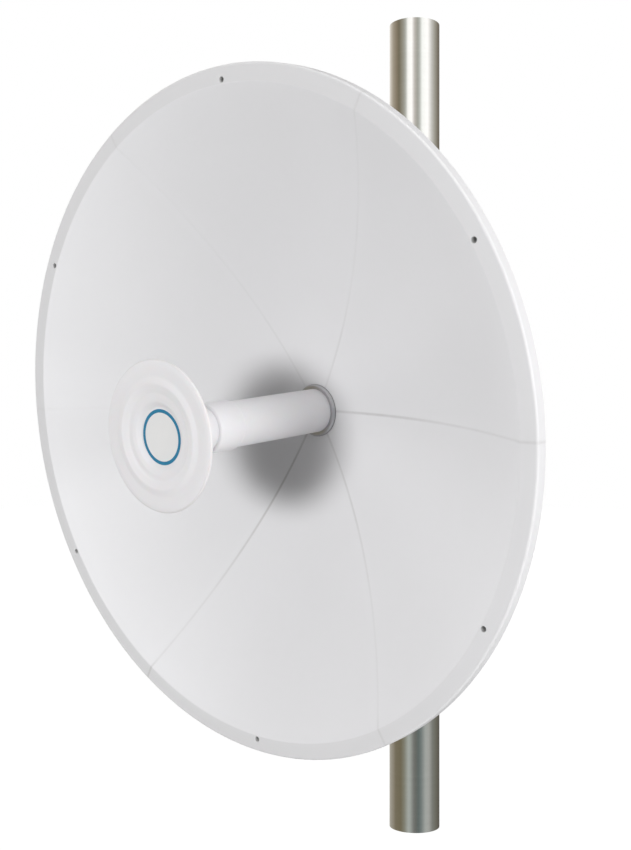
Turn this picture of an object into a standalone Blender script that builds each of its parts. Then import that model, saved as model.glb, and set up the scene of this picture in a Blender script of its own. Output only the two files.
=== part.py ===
# Parabolic dish antenna on a round pole: six-petal reflector, backfire feed, tilt yoke and pole clamp
import bmesh
import bpy
import math
from mathutils import Matrix

# Fit between touching pieces
GAP = 0.0003

# Pole
POLE_RADIUS = 0.03805
POLE_WALL = 0.0025
POLE_HEIGHT = 1.224
PLUG_DEPTH = 0.006

# Where the boresight crosses the tilt pivot, and how the dish stands in the photo
PIVOT_FORWARD = 0.125
PIVOT_HEIGHT = 0.643
DOWN_TILT = math.radians(8.25)
PETAL_ROLL = math.radians(-4.07)

# Reflector, measured along the boresight from the pivot
RIM_FORWARD = 0.2478
BAND_INNER_RADIUS = 0.429
FOCAL_LENGTH = 0.306
SHEET = 0.002
LIP_DEPTH = 0.0153
LIP_RADIUS = 0.452
PETAL_COUNT = 6
PETAL_INNER_RADIUS = 0.0345
FLANGE_START = 0.104
FLANGE_FULL = 0.125
INNER_FLANGE_DEPTH = 0.0024
LIP_RELIEF = 0.0006
LIP_DRAFT = 0.0003
BAND_HOLE_RADIUS = 0.00375
BAND_HOLE_CENTRE = 0.4342
VERTEX = RIM_FORWARD - BAND_INNER_RADIUS ** 2 / (4 * FOCAL_LENGTH)
PETAL_COLUMNS = 12

# Hub and feed
HUB_RADIUS = 0.098
HUB_FLANGE = 0.007
BOSS_RADIUS = 0.058
HUB_REAR = 0.0755
RING_RADIUS = 0.0366
RING_HEIGHT = 0.0045
TUBE_RADIUS = 0.0302
TUBE_REAR = 0.0687
COLLAR_RADIUS = 0.0326
COLLAR_START = 0.020
COLLAR_END = 0.0645
NECK_RADIUS = 0.0296
DISC_RADIUS = 0.0957
DISC_FACE = 0.1423
DISC_EDGE = 0.004
DISC_BACK = 0.116
NECK_FLARE = 0.040
DISC_FRONT = [(0.0948, -0.0006), (0.0930, 0.0), (0.0880, 0.0004), (0.0742, 0.0), (0.0695, 0.0014)]
DISC_FRONT += [(0.0655, 0.0024), (0.0615, 0.0010), (0.0570, -0.0003), (0.0490, -0.0011)]
DISC_FRONT += [(0.0425, -0.0024), (0.0366, -0.0070)]
RECESS_DEPTH = 0.0070
LABEL_RADIUS = 0.0350
LABEL_THICKNESS = 0.0005
HOUSING_HALF = 0.028
HOUSING_REAR = 0.036
HOUSING_FRONT = 0.0684
CONNECTOR_SPREAD = 0.014
CONNECTOR_RADIUS = 0.0078

# Yoke behind the dish
YOKE_INNER = 0.050
PLATE = 0.004
YOKE_BASE_HALF = 0.052
YOKE_BORE = 0.0330
LOCK_RADIUS = 0.060
PIVOT_LOBE = 0.022
LOCK_LOBE = 0.018
PIVOT_BOLT_RADIUS = 0.006
LOCK_BOLT_RADIUS = 0.005
SPACER_RADIUS = 0.015
SPACER_LENGTH = 0.0052

# Bracket and clamp on the pole
JAW_HALF_WIDTH = 0.062
JAW_HALF_HEIGHT = 0.017
JAW_NEAR = 0.018
JAW_FAR = 0.0632
STUD_RADIUS = 0.005
STUD_SPREAD = 0.048
CLAMP_HEIGHTS = {"upper": 0.098, "lower": -0.066}
WEB_BOTTOM = -0.092
WEB_TOP = 0.124
SLOT_HALF_ANGLE = math.radians(20.5)
SLOT_HALF_WIDTH = 0.0056

# Hex sizes, across flats, and their thicknesses
HEX_M12 = 0.018
HEX_M10 = 0.016
HEAD_M12 = 0.0075
HEAD_M10 = 0.0065

SMOOTH_ANGLE = math.radians(32)


def clear_scene():
    for thing in list(bpy.data.objects):
        bpy.data.objects.remove(thing, do_unlink=True)


def make_material(name, colour, roughness, metallic):
    made = bpy.data.materials.new(name)
    made.use_nodes = True
    shader = made.node_tree.nodes["Principled BSDF"]
    shader.inputs["Base Color"].default_value = (*colour, 1.0)
    shader.inputs["Roughness"].default_value = roughness
    shader.inputs["Metallic"].default_value = metallic
    made.diffuse_color = (*colour, 1.0)
    return made


def make_materials():
    return {
        "white_paint": make_material("white_paint", (0.78, 0.78, 0.79), 0.38, 0.0),
        "white_plastic": make_material("white_plastic", (0.82, 0.82, 0.82), 0.34, 0.0),
        "polished_steel": make_material("polished_steel", (0.62, 0.60, 0.57), 0.12, 1.0),
        "hub_steel": make_material("hub_steel", (0.55, 0.55, 0.55), 0.30, 1.0),
        "cast_aluminium": make_material("cast_aluminium", (0.58, 0.59, 0.60), 0.45, 1.0),
        "galvanised_steel": make_material("galvanised_steel", (0.50, 0.51, 0.52), 0.42, 1.0),
        "zinc_bolt": make_material("zinc_bolt", (0.60, 0.60, 0.58), 0.30, 1.0),
        "label_film": make_material("label_film", (0.80, 0.79, 0.74), 0.45, 0.0),
        "connector_metal": make_material("connector_metal", (0.66, 0.62, 0.52), 0.25, 1.0),
    }


def make_object(name, bm, material, parent):
    bmesh.ops.recalc_face_normals(bm, faces=bm.faces)
    mesh = bpy.data.meshes.new(name)
    bm.to_mesh(mesh)
    bm.free()
    mesh.materials.append(material)
    made = bpy.data.objects.new(name, mesh)
    bpy.context.scene.collection.objects.link(made)
    made.parent = parent
    return made


def smooth(thing):
    thing.data.shade_smooth()
    thing.data.set_sharp_from_angle(angle=SMOOTH_ANGLE)


def make_empty(name, place, turn, parent):
    made = bpy.data.objects.new(name, None)
    bpy.context.scene.collection.objects.link(made)
    made.parent = parent
    made.location = place
    made.rotation_euler = turn
    return made


def place_mesh(bm, matrix):
    bmesh.ops.transform(bm, matrix=matrix, verts=bm.verts)


def lathe_mesh(profile, segments):
    # A closed outline of (radius, height) points turned round the Z axis
    bm = bmesh.new()
    rings = []
    for radius, height in profile:
        if radius < 1e-7:
            rings.append([bm.verts.new((0, 0, height))])
            continue
        ring = []
        for step in range(segments):
            angle = 2 * math.pi * step / segments
            ring.append(bm.verts.new((radius * math.cos(angle), radius * math.sin(angle), height)))
        rings.append(ring)
    for index, ring in enumerate(rings):
        other = rings[(index + 1) % len(rings)]
        if len(ring) == 1 and len(other) == 1:
            continue
        for step in range(segments):
            after = (step + 1) % segments
            if len(ring) == 1:
                bm.faces.new((ring[0], other[step], other[after]))
            elif len(other) == 1:
                bm.faces.new((ring[step], other[0], ring[after]))
            else:
                bm.faces.new((ring[step], other[step], other[after], ring[after]))
    return bm


def loft_mesh(loops, strip=0):
    # Loops of equal length joined in turn. The ends are closed flat, or by strips on a thin sheet
    bm = bmesh.new()
    rings = [[bm.verts.new(point) for point in loop] for loop in loops]
    for first, second in zip(rings, rings[1:]):
        for index in range(len(first)):
            after = (index + 1) % len(first)
            bm.faces.new((first[index], first[after], second[after], second[index]))
    for ring in (rings[0], rings[-1]):
        if not strip:
            bm.faces.new(ring)
            continue
        last = 2 * strip + 3
        for index in range(strip):
            bm.faces.new((ring[index], ring[index + 1], ring[last - index - 1], ring[last - index]))
        bm.faces.new(ring[strip:strip + 4])
        bm.faces.new((ring[0], ring[last], ring[last + 1], ring[last + 2]))
    return bm


def prism_mesh(outline, low, high):
    return loft_mesh([[(x, y, low) for x, y in outline], [(x, y, high) for x, y in outline]])


def box_mesh(low, high):
    outline = [(low[0], low[1]), (high[0], low[1]), (high[0], high[1]), (low[0], high[1])]
    return prism_mesh(outline, low[2], high[2])


def combine(target, bm, operation):
    # A helper solid joined to, or cut from, the target
    tool = make_object(target.name + "_tool", bm, target.data.materials[0], target.parent)
    tool.hide_render = True
    tool.display_type = "WIRE"
    change = target.modifiers.new(operation.lower(), "BOOLEAN")
    change.operation = operation
    change.solver = "EXACT"
    change.object = tool
    return tool


def settle(target, tools):
    # Makes the helper solids' work permanent and removes them
    bpy.context.view_layer.update()
    graph = bpy.context.evaluated_depsgraph_get()
    mesh = bpy.data.meshes.new_from_object(target.evaluated_get(graph))
    old = target.data
    target.modifiers.clear()
    target.data = mesh
    bpy.data.meshes.remove(old)
    mesh.name = target.name
    for tool in tools:
        bpy.data.objects.remove(tool, do_unlink=True)


def cylinder_mesh(radius, low, high, segments=24):
    return lathe_mesh([(0, low), (radius, low), (radius, high), (0, high)], segments)


def hex_ring(across_flats, height, points):
    # A hexagon with its sides divided, so that it joins a round ring of the same number of points
    ring = []
    for step in range(points):
        angle = 2 * math.pi * step / points
        inside = (angle + math.pi / 6) % (math.pi / 3) - math.pi / 6
        radius = across_flats / 2 / math.cos(inside)
        ring.append((radius * math.cos(angle), radius * math.sin(angle), height))
    return ring


def round_ring(radius, height, points):
    ring = []
    for step in range(points):
        angle = 2 * math.pi * step / points
        ring.append((radius * math.cos(angle), radius * math.sin(angle), height))
    return ring


def bolt_mesh(shank, across_flats, head, grip, nut, tail):
    # Head below zero, shank through the grip, nut above it and a short tail
    points = 24
    loops = [
        hex_ring(across_flats, -head, points),
        hex_ring(across_flats, 0.0, points),
        round_ring(shank, 0.0, points),
        round_ring(shank, grip, points),
        hex_ring(across_flats, grip, points),
        hex_ring(across_flats, grip + nut, points),
        round_ring(shank, grip + nut, points),
        round_ring(shank, grip + nut + tail, points),
    ]
    return loft_mesh(loops)


def dish_height(radius):
    if radius >= BAND_INNER_RADIUS:
        return RIM_FORWARD
    return VERTEX + radius ** 2 / (4 * FOCAL_LENGTH)


def flange_depth(radius):
    share = (radius - FLANGE_START) / (FLANGE_FULL - FLANGE_START)
    share = min(1.0, max(0.0, share))
    return INNER_FLANGE_DEPTH + share * (LIP_DEPTH - INNER_FLANGE_DEPTH)


def petal_point(radius, share, inset, height):
    # A point between the two seam planes, each moved in by the inset
    half = math.pi / PETAL_COUNT - math.asin(inset / radius)
    angle = share * half
    return (radius * math.cos(angle), radius * math.sin(angle), height)


def petal_loop(radius, front, back, flange):
    # Front skin, one folded edge, back skin and the other folded edge
    seam = GAP / 2
    fold = seam + SHEET
    shares = [2 * step / PETAL_COLUMNS - 1 for step in range(PETAL_COLUMNS + 1)]
    loop = [petal_point(radius, share, seam, front) for share in shares]
    loop.append(petal_point(radius, 1, seam, flange))
    loop.append(petal_point(radius, 1, fold, flange))
    loop += [petal_point(radius, share, fold, back) for share in reversed(shares)]
    loop.append(petal_point(radius, -1, fold, flange))
    loop.append(petal_point(radius, -1, seam, flange))
    return loop


def make_petal(number, material, parent):
    loops = []
    stations = [PETAL_INNER_RADIUS, 0.060, 0.085, FLANGE_START, FLANGE_FULL]
    stations += [0.155, 0.190, 0.225, 0.260, 0.295, 0.330, 0.365, 0.400, BAND_INNER_RADIUS]
    for radius in stations:
        front = dish_height(radius)
        slope = radius / (2 * FOCAL_LENGTH)
        thick = SHEET * math.sqrt(1 + slope ** 2)
        flange = front - max(flange_depth(radius), thick + 0.0004)
        loops.append(petal_loop(radius, front, front - thick, flange))
    rear = RIM_FORWARD - LIP_DEPTH
    lip_inner = LIP_RADIUS - SHEET
    skin = RIM_FORWARD - SHEET
    loops.append(petal_loop(BAND_INNER_RADIUS + 0.002, RIM_FORWARD, skin, rear))
    loops.append(petal_loop(lip_inner, RIM_FORWARD, skin, rear))
    loops.append(petal_loop(lip_inner + LIP_DRAFT, RIM_FORWARD, rear + LIP_RELIEF, rear))
    loops.append(petal_loop(LIP_RADIUS, RIM_FORWARD, rear + LIP_RELIEF, rear))
    bm = loft_mesh(loops, PETAL_COLUMNS)
    middle = PETAL_ROLL - math.pi / PETAL_COUNT - 2 * math.pi * (number - 1) / PETAL_COUNT
    petal = make_object("petal_%d" % number, bm, material, parent)
    hole = cylinder_mesh(BAND_HOLE_RADIUS, RIM_FORWARD - 0.006, RIM_FORWARD + 0.004, 20)
    place_mesh(hole, Matrix.Translation((BAND_HOLE_CENTRE, 0, 0)))
    settle(petal, [combine(petal, hole, "DIFFERENCE")])
    petal.data.transform(Matrix.Rotation(middle, 4, "Z"))
    smooth(petal)
    return petal


def make_hub(material, parent):
    def seat(radius):
        return dish_height(radius) - INNER_FLANGE_DEPTH - 0.0001 - GAP
    bore = TUBE_RADIUS + GAP
    profile = [(bore, HUB_REAR), (bore, seat(bore))]
    profile += [(radius, seat(radius)) for radius in (0.045, 0.060, 0.075, 0.088, HUB_RADIUS)]
    rear = seat(HUB_RADIUS) - HUB_FLANGE
    profile += [(HUB_RADIUS, rear), (BOSS_RADIUS + 0.008, rear - 0.001), (BOSS_RADIUS, rear - 0.006)]
    profile += [(BOSS_RADIUS, HUB_REAR)]
    hub = make_object("hub_casting", lathe_mesh(profile, 48), material, parent)
    smooth(hub)


def make_hub_ring(material, parent):
    bore = TUBE_RADIUS + GAP
    low_in = dish_height(bore) + GAP + 0.0002
    low_out = dish_height(RING_RADIUS) + GAP
    top = low_out + RING_HEIGHT
    profile = [(bore, low_in + 0.0002), (RING_RADIUS, low_out)]
    profile += [(RING_RADIUS, top - 0.0015), (RING_RADIUS - 0.0015, top), (bore, top)]
    ring = make_object("front_hub_ring", lathe_mesh(profile, 48), material, parent)
    smooth(ring)


def make_feed(materials, parent):
    white = materials["white_plastic"]
    start = RIM_FORWARD + COLLAR_START
    end = RIM_FORWARD + COLLAR_END
    tube = make_object("feed_tube", cylinder_mesh(TUBE_RADIUS, TUBE_REAR, start - GAP, 48), white, parent)
    smooth(tube)
    profile = [(0, start), (COLLAR_RADIUS - 0.001, start), (COLLAR_RADIUS, start + 0.001)]
    profile += [(COLLAR_RADIUS, end - 0.001), (COLLAR_RADIUS - 0.001, end), (0, end)]
    collar = make_object("feed_collar", lathe_mesh(profile, 48), white, parent)
    smooth(collar)
    back = RIM_FORWARD + DISC_BACK
    neck = make_object("feed_neck", cylinder_mesh(NECK_RADIUS, end + GAP, back - GAP, 48), white, parent)
    smooth(neck)
    face = RIM_FORWARD + DISC_FACE
    floor = face - RECESS_DEPTH
    profile = [(0, back), (NECK_FLARE, back), (DISC_RADIUS - 0.002, face - DISC_EDGE)]
    profile += [(DISC_RADIUS, face - DISC_EDGE + 0.001), (DISC_RADIUS, face - 0.0018)]
    for radius, height in DISC_FRONT:
        profile.append((radius, face + height))
    profile.append((0, floor))
    disc = make_object("feed_disc", lathe_mesh(profile, 64), white, parent)
    smooth(disc)
    label = cylinder_mesh(LABEL_RADIUS, floor + GAP, floor + GAP + LABEL_THICKNESS, 48)
    made = make_object("feed_label", label, materials["label_film"], parent)
    smooth(made)


def make_feed_rear(materials, parent):
    half = HOUSING_HALF
    cut = 0.006
    outline = [(half - cut, -half), (half, cut - half), (half, half - cut), (half - cut, half)]
    outline += [(cut - half, half), (-half, half - cut), (-half, cut - half), (cut - half, -half)]
    bm = prism_mesh(outline, HOUSING_REAR, HOUSING_FRONT)
    make_object("feed_housing", bm, materials["cast_aluminium"], parent)
    profile = [(0, 0), (0.0105, 0), (0.0105, 0.0035), (CONNECTOR_RADIUS, 0.0035)]
    profile += [(CONNECTOR_RADIUS, 0.018), (0.0055, 0.018), (0.0055, 0.009), (0, 0.009)]
    for name, side in (("left", -1), ("right", 1)):
        bm = lathe_mesh(profile, 24)
        turn = Matrix.Rotation(math.radians(90), 4, "X")
        place = Matrix.Translation((side * CONNECTOR_SPREAD, -half - GAP, 0.052))
        place_mesh(bm, place @ turn)
        made = make_object("connector_" + name, bm, materials["connector_metal"], parent)
        smooth(made)


def hull_outline(points):
    # The outer polygon round a set of points, anticlockwise
    points = sorted(set(points))

    def turn(a, b, c):
        return (b[0] - a[0]) * (c[1] - a[1]) - (b[1] - a[1]) * (c[0] - a[0])

    def half(sequence):
        chain = []
        for point in sequence:
            while len(chain) > 1 and turn(chain[-2], chain[-1], point) <= 1e-12:
                chain.pop()
            chain.append(point)
        return chain[:-1]
    return half(points) + half(reversed(points))


def circle_points(centre, radius, count=32):
    points = []
    for step in range(count):
        angle = 2 * math.pi * step / count
        points.append((centre[0] + radius * math.cos(angle), centre[1] + radius * math.sin(angle)))
    return points


def ear_mesh(outline, inner, outer):
    # An outline in (up, forward) as a plate between two X positions, in the dish's own axes
    bm = prism_mesh(outline, inner, outer)
    place_mesh(bm, Matrix(((0, 0, 1, 0), (1, 0, 0, 0), (0, 1, 0, 0), (0, 0, 0, 1))))
    return bm


def make_yoke(material, parent):
    front = HUB_REAR - GAP
    outer = YOKE_INNER + PLATE
    base = box_mesh((-outer, -YOKE_BASE_HALF, front - PLATE), (outer, YOKE_BASE_HALF + 0.010, front))
    yoke = make_object("tilt_yoke", base, material, parent)
    points = circle_points((0, 0), PIVOT_LOBE) + circle_points((LOCK_RADIUS, 0), LOCK_LOBE)
    points += [(-YOKE_BASE_HALF, front), (YOKE_BASE_HALF + 0.010, front)]
    points += [(-YOKE_BASE_HALF, front - PLATE), (YOKE_BASE_HALF + 0.010, front - PLATE)]
    outline = hull_outline(points)
    tools = []
    for side in (-1, 1):
        ends = sorted((side * YOKE_INNER, side * outer))
        tools.append(combine(yoke, ear_mesh(outline, *ends), "UNION"))
    bore = cylinder_mesh(YOKE_BORE, front - PLATE - 0.002, front + 0.002, 40)
    tools.append(combine(yoke, bore, "DIFFERENCE"))
    holes = (((0, 0), PIVOT_BOLT_RADIUS), ((LOCK_RADIUS, 0), LOCK_BOLT_RADIUS))
    for centre, radius in holes:
        cut = ear_mesh(circle_points(centre, radius + GAP, 24), -outer - 0.002, outer + 0.002)
        tools.append(combine(yoke, cut, "DIFFERENCE"))
    settle(yoke, tools)


def make_tilt_bolts(materials, parent):
    # Both bolts run across the yoke, with a spacer between each pair of ears
    metal = materials["zinc_bolt"]
    near = YOKE_INNER + PLATE + GAP
    reach = near + SPACER_LENGTH + GAP + PLATE + GAP
    across = Matrix.Rotation(math.radians(90), 4, "Y")
    sizes = {
        "pivot": ((0, 0), PIVOT_BOLT_RADIUS, HEX_M12, HEAD_M12),
        "lock": ((0, LOCK_RADIUS), LOCK_BOLT_RADIUS, HEX_M10, HEAD_M10),
    }
    for name, (centre, shank, flats, head) in sizes.items():
        bm = bolt_mesh(shank, flats, head, 2 * reach, head + 0.001, 0.004)
        place_mesh(bm, Matrix.Translation((-reach, centre[1], 0)) @ across)
        bolt = make_object(name + "_bolt", bm, metal, parent)
        smooth(bolt)
        for side_name, side in (("left", -1), ("right", 1)):
            low = near if side > 0 else -near - SPACER_LENGTH
            bore = shank + GAP
            profile = [(bore, 0), (SPACER_RADIUS, 0), (SPACER_RADIUS, SPACER_LENGTH), (bore, SPACER_LENGTH)]
            bm = lathe_mesh(profile, 32)
            place_mesh(bm, Matrix.Translation((low, centre[1], 0)) @ across)
            spacer = make_object("%s_spacer_%s" % (name, side_name), bm, metal, parent)
            smooth(spacer)


def slot_outline():
    # An arc slot about the pivot, as (up, forward) points
    inner = LOCK_RADIUS - SLOT_HALF_WIDTH
    outer = LOCK_RADIUS + SLOT_HALF_WIDTH
    steps = 10
    points = []
    for step in range(steps + 1):
        angle = SLOT_HALF_ANGLE * (2 * step / steps - 1)
        points.append((outer * math.cos(angle), outer * math.sin(angle)))
    end = (LOCK_RADIUS * math.cos(SLOT_HALF_ANGLE), LOCK_RADIUS * math.sin(SLOT_HALF_ANGLE))
    for step in range(1, 6):
        angle = SLOT_HALF_ANGLE + math.pi * step / 6
        points.append((end[0] + SLOT_HALF_WIDTH * math.cos(angle), end[1] + SLOT_HALF_WIDTH * math.sin(angle)))
    for step in range(steps + 1):
        angle = SLOT_HALF_ANGLE * (1 - 2 * step / steps)
        points.append((inner * math.cos(angle), inner * math.sin(angle)))
    for step in range(1, 6):
        angle = math.pi - SLOT_HALF_ANGLE + math.pi * step / 6
        points.append((end[0] + SLOT_HALF_WIDTH * math.cos(angle), -end[1] + SLOT_HALF_WIDTH * math.sin(angle)))
    return points


def make_bracket(material, parent):
    # In the swivel's axes: X across, Y back, Z up, with the pivot at PIVOT_FORWARD ahead of the pole
    inner = YOKE_INNER + PLATE + GAP + SPACER_LENGTH + GAP
    outer = inner + PLATE
    back = -JAW_FAR - GAP
    web = box_mesh((-outer, back - PLATE, WEB_BOTTOM), (outer, back, WEB_TOP))
    bracket = make_object("pole_bracket", web, material, parent)
    root = back + PIVOT_FORWARD
    outline = [(WEB_BOTTOM, -root), (WEB_TOP, -root), (WEB_TOP, 0.012 - root), (0.082, 0.026)]
    outline += [(0.070, 0.038), (-0.026, 0.038), (-0.040, 0.028), (WEB_BOTTOM, 0.012 - root)]
    upright = Matrix(((1, 0, 0, 0), (0, 0, -1, -PIVOT_FORWARD), (0, 1, 0, 0), (0, 0, 0, 1)))
    tools = []
    for side in (-1, 1):
        ends = sorted((side * inner, side * outer))
        ear = ear_mesh(outline, *ends)
        place_mesh(ear, upright)
        tools.append(combine(bracket, ear, "UNION"))
    cuts = [circle_points((0, 0), PIVOT_BOLT_RADIUS + GAP, 24), slot_outline()]
    for shape in cuts:
        cut = ear_mesh(shape, -outer - 0.002, outer + 0.002)
        place_mesh(cut, upright)
        tools.append(combine(bracket, cut, "DIFFERENCE"))
    for height in CLAMP_HEIGHTS.values():
        for side in (-1, 1):
            cut = cylinder_mesh(STUD_RADIUS + GAP, -0.01, 0.01)
            turn = Matrix.Rotation(math.radians(90), 4, "X")
            place_mesh(cut, Matrix.Translation((side * STUD_SPREAD, back - PLATE / 2, height)) @ turn)
            tools.append(combine(bracket, cut, "DIFFERENCE"))
    settle(bracket, tools)


def jaw_outline():
    # A block with a right-angled notch that bears on the pole, as (across, away from the pole)
    notch = (POLE_RADIUS + GAP) * math.sqrt(2)
    mouth = notch - JAW_NEAR
    points = [(-JAW_HALF_WIDTH, JAW_NEAR), (-mouth, JAW_NEAR), (0, notch), (mouth, JAW_NEAR)]
    points += [(JAW_HALF_WIDTH, JAW_NEAR), (JAW_HALF_WIDTH, JAW_FAR - 0.008), (0.054, JAW_FAR)]
    points += [(-0.054, JAW_FAR), (-JAW_HALF_WIDTH, JAW_FAR - 0.008)]
    return points


def make_jaw(name, height, side, material, parent):
    outline = [(x, side * y) for x, y in jaw_outline()]
    jaw = make_object(name, prism_mesh(outline, height - JAW_HALF_HEIGHT, height + JAW_HALF_HEIGHT), material, parent)
    tools = []
    for across in (-1, 1):
        cut = cylinder_mesh(STUD_RADIUS + GAP, -0.04, 0.04)
        place = Matrix.Translation((across * STUD_SPREAD, side * 0.040, height))
        place_mesh(cut, place @ Matrix.Rotation(math.radians(90), 4, "X"))
        tools.append(combine(jaw, cut, "DIFFERENCE"))
    settle(jaw, tools)


def make_clamps(materials, parent):
    for level, height in CLAMP_HEIGHTS.items():
        make_jaw(level + "_front_jaw", height, -1, materials["cast_aluminium"], parent)
        make_jaw(level + "_rear_jaw", height, 1, materials["cast_aluminium"], parent)
        start = -JAW_FAR - GAP - PLATE - GAP
        grip = JAW_FAR + GAP - start
        for side_name, side in (("left", -1), ("right", 1)):
            bm = bolt_mesh(STUD_RADIUS, HEX_M10, HEAD_M10, grip, 0.008, 0.007)
            turn = Matrix.Rotation(math.radians(-90), 4, "X")
            place_mesh(bm, Matrix.Translation((side * STUD_SPREAD, start, height)) @ turn)
            stud = make_object("%s_clamp_stud_%s" % (level, side_name), bm, materials["zinc_bolt"], parent)
            smooth(stud)


def make_pole(materials):
    inner = POLE_RADIUS - POLE_WALL
    profile = [(inner, 0), (POLE_RADIUS, 0), (POLE_RADIUS, POLE_HEIGHT), (inner, POLE_HEIGHT)]
    pole = make_object("pole", lathe_mesh(profile, 64), materials["polished_steel"], None)
    smooth(pole)
    plug = inner - GAP
    ends = {"pole_foot_plate": (0, PLUG_DEPTH), "pole_top_plate": (POLE_HEIGHT - PLUG_DEPTH, POLE_HEIGHT)}
    for name, (low, high) in ends.items():
        made = make_object(name, cylinder_mesh(plug, low, high, 64), materials["polished_steel"], None)
        smooth(made)


def build():
    clear_scene()
    materials = make_materials()
    make_pole(materials)
    swivel = make_empty("swivel_axis", (0, 0, PIVOT_HEIGHT), (0, 0, 0), None)
    make_bracket(materials["galvanised_steel"], swivel)
    make_clamps(materials, swivel)
    turn = (math.pi / 2 + DOWN_TILT, 0, 0)
    tilt = make_empty("tilt_axis", (0, -PIVOT_FORWARD, 0), turn, swivel)
    make_yoke(materials["galvanised_steel"], tilt)
    make_tilt_bolts(materials, tilt)
    make_hub(materials["cast_aluminium"], tilt)
    make_hub_ring(materials["hub_steel"], tilt)
    for number in range(1, PETAL_COUNT + 1):
        make_petal(number, materials["white_paint"], tilt)
    make_feed(materials, tilt)
    make_feed_rear(materials, tilt)


build()
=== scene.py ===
# Parabolic dish antenna on a polished round pole
import math
import bmesh
import bpy
from mathutils import Matrix, Vector


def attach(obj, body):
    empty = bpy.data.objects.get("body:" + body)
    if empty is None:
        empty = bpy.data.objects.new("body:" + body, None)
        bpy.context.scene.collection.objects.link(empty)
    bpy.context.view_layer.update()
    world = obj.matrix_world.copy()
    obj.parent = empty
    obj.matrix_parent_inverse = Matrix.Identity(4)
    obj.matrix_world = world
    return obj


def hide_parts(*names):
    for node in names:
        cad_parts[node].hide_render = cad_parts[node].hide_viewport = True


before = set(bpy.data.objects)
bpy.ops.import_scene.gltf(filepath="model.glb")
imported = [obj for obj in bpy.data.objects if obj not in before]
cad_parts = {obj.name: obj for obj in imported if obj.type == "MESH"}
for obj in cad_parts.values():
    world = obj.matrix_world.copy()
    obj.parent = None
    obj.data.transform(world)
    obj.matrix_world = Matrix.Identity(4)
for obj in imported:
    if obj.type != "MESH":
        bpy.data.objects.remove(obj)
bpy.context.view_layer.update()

scene = bpy.context.scene

# How the dish stands on its pivot, in metres and degrees
dishAim = {"pivot": (0.0, -0.125, 0.643), "downTilt": 8.25, "petalRoll": -4.07}
dishTurn = math.radians(90 + dishAim["downTilt"])
dishPlace = Matrix.Translation(dishAim["pivot"]) @ Matrix.Rotation(dishTurn, 4, "X")


# Node helpers

def addNode(tree, kind, inputs=None, **settings):
    node = tree.nodes.new("ShaderNode" + kind)
    for name, value in settings.items():
        setattr(node, name, value)
    for name, value in (inputs or {}).items():
        if isinstance(value, bpy.types.NodeSocket):
            tree.links.new(value, node.inputs[name])
        else:
            node.inputs[name].default_value = value
    return node


def maths(tree, operation, first, second=0.5, clamp=False):
    inputs = {0: first, 1: second}
    return addNode(tree, "Math", inputs, operation=operation, use_clamp=clamp).outputs[0]


def times(tree, first, second, clamp=False):
    return maths(tree, "MULTIPLY", first, second, clamp)


def remap(tree, value, fromLow, fromHigh, toLow, toHigh, smooth=False):
    inputs = {"Value": value, "From Min": fromLow, "From Max": fromHigh, "To Min": toLow, "To Max": toHigh}
    kind = "SMOOTHSTEP" if smooth else "LINEAR"
    return addNode(tree, "MapRange", inputs, interpolation_type=kind).outputs[0]


def noise(tree, place, scale, detail=3.0):
    inputs = {"Vector": place, "Scale": scale, "Detail": detail, "Roughness": 0.55}
    return addNode(tree, "TexNoise", inputs).outputs["Fac"]


def blendColours(tree, share, first, second):
    inputs = {"Factor": share, 6: first, 7: second}
    return addNode(tree, "Mix", inputs, data_type="RGBA").outputs[2]


def blendShaders(tree, share, first, second):
    return addNode(tree, "MixShader", {0: share, 1: first, 2: second}).outputs[0]


def fromAxis(tree, place):
    # The parts of a place, and its distance from the Z axis
    split = addNode(tree, "SeparateXYZ", {0: place}).outputs
    squares = [times(tree, split[axis], split[axis]) for axis in ("X", "Y")]
    return split, maths(tree, "SQRT", maths(tree, "ADD", *squares))


def turnRamp(tree, turn, stops):
    # A ramp over a whole turn. Each stop is an angle in degrees and a colour
    ramp = addNode(tree, "ValToRGB", {0: turn})
    elements = ramp.color_ramp.elements
    while len(elements) < len(stops):
        elements.new(0.5)
    for element, (angle, *colour) in zip(elements, stops):
        element.position = angle / 360 + 0.5
        element.color = (*colour, 1.0)
    return ramp.outputs[0]


def newGroup(name, numbers, outputs):
    # A group that takes a place and named numbers, and gives numbers
    group = bpy.data.node_groups.new(name, "ShaderNodeTree")
    sockets = group.interface
    sockets.new_socket(name="Place", in_out="INPUT", socket_type="NodeSocketVector")
    for label, value in numbers.items():
        socket = sockets.new_socket(name=label, in_out="INPUT", socket_type="NodeSocketFloat")
        socket.default_value = value
    for label in outputs:
        sockets.new_socket(name=label, in_out="OUTPUT", socket_type="NodeSocketFloat")
    start = group.nodes.new("NodeGroupInput")
    end = group.nodes.new("NodeGroupOutput")
    return group, start.outputs, end.inputs


# Shared effects. Of four numbers together, the first two are mapped to the last two

specks = {"scale": 160.0, "spread": 45.0, "size": (0.05, 0.12, 1.0, 0.0), "chance": (0.62, 0.68, 0.0, 1.0)}


def makeGrain():
    # Fine skin, soft clouds and a few specks, each from 0 to 1
    numbers = {"Skin": 900.0, "Clouds": 6.0}
    group, given, result = newGroup("fineGrain", numbers, ("Skin", "Clouds", "Specks"))
    skin = noise(group, given["Place"], given["Skin"], 2.0)
    clouds = noise(group, given["Place"], given["Clouds"])
    inputs = {"Vector": given["Place"], "Scale": specks["scale"], "Randomness": 1.0}
    dots = addNode(group, "TexVoronoi", inputs).outputs["Distance"]
    rare = noise(group, given["Place"], specks["spread"], 1.0)
    spot = remap(group, dots, *specks["size"])
    chosen = remap(group, rare, *specks["chance"])
    group.links.new(skin, result["Skin"])
    group.links.new(clouds, result["Clouds"])
    group.links.new(times(group, spot, chosen), result["Specks"])
    return group


streakWidth = 12.0  # in lines


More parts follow.
